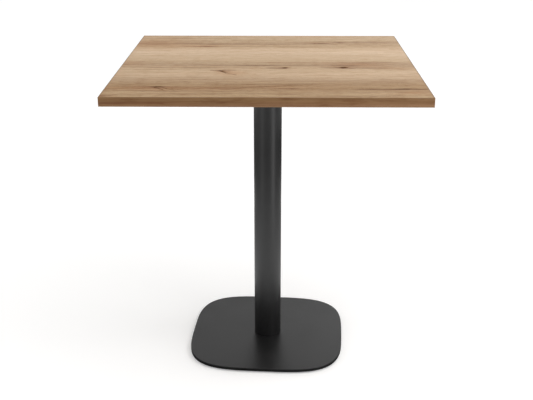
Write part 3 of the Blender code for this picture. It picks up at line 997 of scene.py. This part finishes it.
def build_pad(i, spot):
    """A nylon pad, moulded round the stud's flange."""
    node = f"foot_pad_{i + 1}"
    low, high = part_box(node)
    stud_low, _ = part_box(f"foot_stud_{i + 1}")
    neck, pocket = M8 + GAP, FLANGE_RADIUS + GAP
    pocket_low, pocket_high = stud_low.z - GAP, stud_low.z + FLANGE_THICKNESS + GAP
    lower = arc(PAD_RADIUS - PAD_LOWER_ROUND, low.z + PAD_LOWER_ROUND, PAD_LOWER_ROUND, 270, 360)
    upper = arc(PAD_RADIUS - PAD_UPPER_ROUND, high.z - PAD_UPPER_ROUND, PAD_UPPER_ROUND, 0, 90)
    fluted = [(PAD_RADIUS, low.z + GRIP_START)] + upper
    inside = [
        (PAD_CROWN, high.z),
        (neck + NECK_CHAMFER, high.z),
        (neck, high.z - NECK_CHAMFER_DEPTH),
        (neck, pocket_high),
        (pocket, pocket_high),
        (pocket, pocket_low),
    ]
    rings = [grip_ring(radius, z, spot, 0.0) for radius, z in lower]
    rings += [grip_ring(radius, z, spot, 1.0) for radius, z in fluted]
    rings += [circle(radius, z, PAD_SIDES, spot) for radius, z in inside]
    shape = bmesh.new()
    skin(shape, rings)
    stand_for(as_piece(f"pad_{i + 1}", shape, nylon), node, f"foot_{i + 1}_pad")


# ---- what keeps its CAD shape ----


def recoat(node, material):
    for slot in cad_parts[node].material_slots:
        slot.material = material


def recoat_the_rest():
    recoat("tabletop_core", chips)
    recoat("tabletop_backing", backing)
    recoat("column_top_disc", zinc)
    recoat("column_bottom_disc", zinc)


build_top()
build_column()
build_base()
build_mounting_plate()
build_wood_screws()
build_socket_screws("plate_screw", "plate_bolt", PLATE_SPOTS, M6, HEXAGON_M6, 1)
build_socket_screws("base_screw", "base_bolt", BASE_SPOTS, M8, HEXAGON_M8, -1)
for index, foot_spot in enumerate(FOOT_SPOTS):
    build_stud(index, foot_spot)
    build_pad(index, foot_spot)
recoat_the_rest()


# ---- studio ----

FLOOR_SIZE = 60.0
FLOOR_GLOW = 0.27  # keeps the floor white around the table

WALL_REACH = 1.22  # radius of the low wall
WALL_LOW, WALL_HEIGHT = 0.001, 0.38
WALL_SIDES = 48

# up the low wall: share of its height, and its grey
WALL_GREYS = [
    (0.00, (0.70, 0.70, 0.70)),
    (0.12, (0.25, 0.25, 0.25)),
    (0.30, (0.05, 0.05, 0.05)),
    (1.00, (0.02, 0.02, 0.02)),
]

CARD_MARGIN = 0.06  # how far the dark card on the floor reaches past the base
CARD_LEVEL = 0.0004

GLOW_INNER, GLOW_OUTER = 0.32, 1.00  # radii of the bright ring on the floor
GLOW_LEVEL = 0.0006
GLOW_SIDES = 96
GLOW_STRENGTHS = (1.7, 1.0)  # at its inner and its outer radius
GLOW_BEHIND = 0.5  # its strength behind the table, as a share of its strength in front
GLOW_FADE = (-0.15, 0.35)  # along Y, where the share starts to fall and where it ends

SUN_PLACE = (0.8, -0.9, 3.5)
SUN_COLOR = (1.0, 0.99, 0.975)
SUN_POWER = 1.55
SUN_WIDTH = radians(80)

STRIP_REACH = 0.95  # from the column to each strip softbox
STRIP_TURN = radians(45)  # that each one stands off the camera's side
STRIP_HEIGHT = 0.60  # of the strips' middles
STRIP_SIZE = (0.42, 1.20)
STRIP_POWERS = {"strip_right": 2.3, "strip_left": 0.95}

# the other softboxes: name, place, aim, width and height, power, and whether gloss mirrors it
SOFTBOXES = [
    ("back_right", (1.3, 4.0, 2.0), (0.2, 0.0, 0.3), (1.8, 2.0), 5.5, True),
    ("side_right", (1.5, -0.2, 1.7), (0.2, 0.0, 0.75), (0.8, 0.8), 6.0, False),
    ("back_low", (0.1, 1.05, 0.50), (0.0, 0.1, 0.0), (1.2, 0.25), 0.50, True),
]

SKY_LOW, SKY_HIGH = 1.20, 0.42  # its strength low down and high up
SKY_RISE = (sin(radians(4)), sin(radians(42)))  # where it starts to fall, and where it ends
SKY_FRONT = 0.35  # its strength in front of the table, as a share of its strength behind
SKY_TURN = (-0.7, 0.3)  # along Y, between which the share grows
HORIZON = 1.05  # strength of the bright horizon
HORIZON_RISE = (sin(radians(3)), sin(radians(16)))  # where it starts to fall, and where it ends

CAMERA_PLACE = (0.021, -2.163, 1.210)
CAMERA_PITCH = radians(90 - 20.74)  # up from straight down: 20.74 degrees below level
CAMERA_YAW = radians(0.64)
LENS, SENSOR = 60.65, 36.0  # in mm


def make_floor():
    """A pale matt floor that glows faintly, so that it stays white around the table."""
    material, g, shader, position = new_material("studio_floor")
    cloud = g.noise(position, 2.0, 0.5, scale=0.6)
    color = g.ramp(cloud, [(0.3, (0.84, 0.84, 0.84)), (0.7, (0.86, 0.86, 0.86))])
    g.feed(shader.inputs["Base Color"], color)
    shader.inputs["Roughness"].default_value = 0.9
    shader.inputs["Specular IOR Level"].default_value = 0.1
    shader.inputs["Emission Color"].default_value = (1.0, 1.0, 1.0, 1.0)
    shader.inputs["Emission Strength"].default_value = FLOOR_GLOW
    shape = bmesh.new()
    bmesh.ops.create_grid(shape, x_segments=1, y_segments=1, size=FLOOR_SIZE)
    floor = new_object("floor", shape, material)


def show_in_reflections(name, shape, material):
    """Makes the bmesh a part of the stage that only glossy surfaces see."""
    made = new_object(name, shape, material)
    made.visible_camera = False
    made.visible_diffuse = False
    made.visible_shadow = False


def add_low_wall():
    """A low grey wall round the table, for reflections: it darkens the column's upper part."""
    material, g, shader, position = new_material("grey_card")
    share = g.math("DIVIDE", g.add("SeparateXYZ", {0: position}).outputs["Z"], WALL_HEIGHT)
    g.feed(shader.inputs["Base Color"], g.ramp(share, WALL_GREYS))
    shader.inputs["Roughness"].default_value = 1.0
    shader.inputs["Specular IOR Level"].default_value = 0.0
    shape = bmesh.new()
    lathe(shape, [(WALL_REACH, WALL_LOW), (WALL_REACH, WALL_HEIGHT)], WALL_SIDES, ends="open")
    show_in_reflections("low_wall", shape, material)


def add_floor_card():
    """A black card on the floor under the base, for reflections: it darkens the base's edge."""
    material, g, shader, position = new_material("black_card")
    cloud = g.noise(position, 2.0, 0.5, scale=4.0)
    color = g.ramp(cloud, [(0.3, (0.010, 0.010, 0.010)), (0.7, (0.014, 0.014, 0.014))])
    g.feed(shader.inputs["Base Color"], color)
    shader.inputs["Roughness"].default_value = 1.0
    shader.inputs["Specular IOR Level"].default_value = 0.0
    shape = bmesh.new()
    outline = soft_square(BASE_SIDE + 2 * CARD_MARGIN, BASE_POWER, BASE_POINTS)
    shape.faces.new([shape.verts.new((x, y, CARD_LEVEL)) for x, y in outline])
    show_in_reflections("floor_card", shape, material)


def add_floor_glow():
    """A bright ring on the floor, for reflections: it lifts the column's lower half.

    It is dimmer behind the table, so that the column's two rims stay dark."""
    material, g, shader, position = new_material("bright_card")
    reach = g.vector("LENGTH", position)
    depth = g.add("SeparateXYZ", {0: position}).outputs["Y"]
    inside = g.remap(reach, GLOW_INNER, GLOW_OUTER, *GLOW_STRENGTHS)
    behind = g.remap(depth, *GLOW_FADE, 1.0, GLOW_BEHIND)
    shader.inputs["Base Color"].default_value = (0.0, 0.0, 0.0, 1.0)
    shader.inputs["Specular IOR Level"].default_value = 0.0
    shader.inputs["Emission Color"].default_value = (1.0, 1.0, 1.0, 1.0)
    g.feed(shader.inputs["Emission Strength"], g.math("MULTIPLY", inside, behind))
    shape = bmesh.new()
    lathe(shape, [(GLOW_OUTER, GLOW_LEVEL), (GLOW_INNER, GLOW_LEVEL)], GLOW_SIDES, ends="open")
    show_in_reflections("floor_glow", shape, material)


def add_sky():
    """A pale room: white at the horizon, and darker higher up, more so in front of the table."""
    world = bpy.data.worlds.new("studio")
    world.use_nodes = True
    g = Graph(world.node_tree)
    direction = g.add("SeparateXYZ", {0: g.add("TexCoord", {}).outputs["Generated"]}).outputs
    background = world.node_tree.nodes["Background"]
    background.inputs["Color"].default_value = (1.0, 1.0, 1.0, 1.0)
    upwards = g.remap(direction["Z"], *SKY_RISE, SKY_LOW, SKY_HIGH)
    behind = g.remap(direction["Y"], *SKY_TURN, SKY_FRONT, 1.0)
    horizon = g.remap(direction["Z"], *HORIZON_RISE, HORIZON, 0.0)
    strength = g.math("MAXIMUM", g.math("MULTIPLY", upwards, behind), horizon)
    g.feed(background.inputs["Strength"], strength)
    bpy.context.scene.world = world


def add_light(name, kind, place, aim, power, mirrored=True):
    """A light that the camera doesn't see, and that glossy surfaces see only if it is mirrored."""
    data = bpy.data.lights.new(name, kind)
    data.energy = power
    lamp = bpy.data.objects.new(name, data)
    lamp.location = place
    lamp.rotation_euler = (Vector(aim) - Vector(place)).to_track_quat("-Z", "Y").to_euler()
    lamp.visible_camera = False
    lamp.visible_glossy = mirrored
    bpy.context.scene.collection.objects.link(lamp)
    return data


def add_softbox(name, place, aim, size, power, mirrored=True):
    """A rectangular light, its size given as a width and a height."""
    softbox = add_light(name, "AREA", place, aim, power, mirrored)
    softbox.shape = "RECTANGLE"
    softbox.size, softbox.size_y = size


def add_strip(name, side):
    """A tall narrow softbox in front of the table, on the right (side 1) or the left (side -1)."""
    x, y = side * STRIP_REACH * sin(STRIP_TURN), -STRIP_REACH * cos(STRIP_TURN)
    aim = (0.0, 0.0, STRIP_HEIGHT)
    add_softbox(name, (x, y, STRIP_HEIGHT), aim, STRIP_SIZE, STRIP_POWERS[name])


def light_the_room():
    add_sky()
    sun = add_light("soft_sun", "SUN", SUN_PLACE, (0.0, 0.0, 0.0), SUN_POWER)
    sun.angle = SUN_WIDTH
    sun.color = SUN_COLOR
    add_strip("strip_right", 1)
    add_strip("strip_left", -1)
    for softbox in SOFTBOXES:
        add_softbox(*softbox)


def add_camera():
    """A camera in front of the table and above it, turned slightly to the left."""
    data = bpy.data.cameras.new("camera")
    data.lens = LENS
    data.sensor_width = SENSOR
    camera = bpy.data.objects.new("camera", data)
    camera.location = CAMERA_PLACE
    camera.rotation_euler = (CAMERA_PITCH, 0.0, CAMERA_YAW)
    bpy.context.scene.collection.objects.link(camera)
    bpy.context.scene.camera = camera


make_floor()
add_low_wall()
add_floor_card()
add_floor_glow()
light_the_room()
add_camera()
bpy.context.scene.view_settings.view_transform = "Standard"
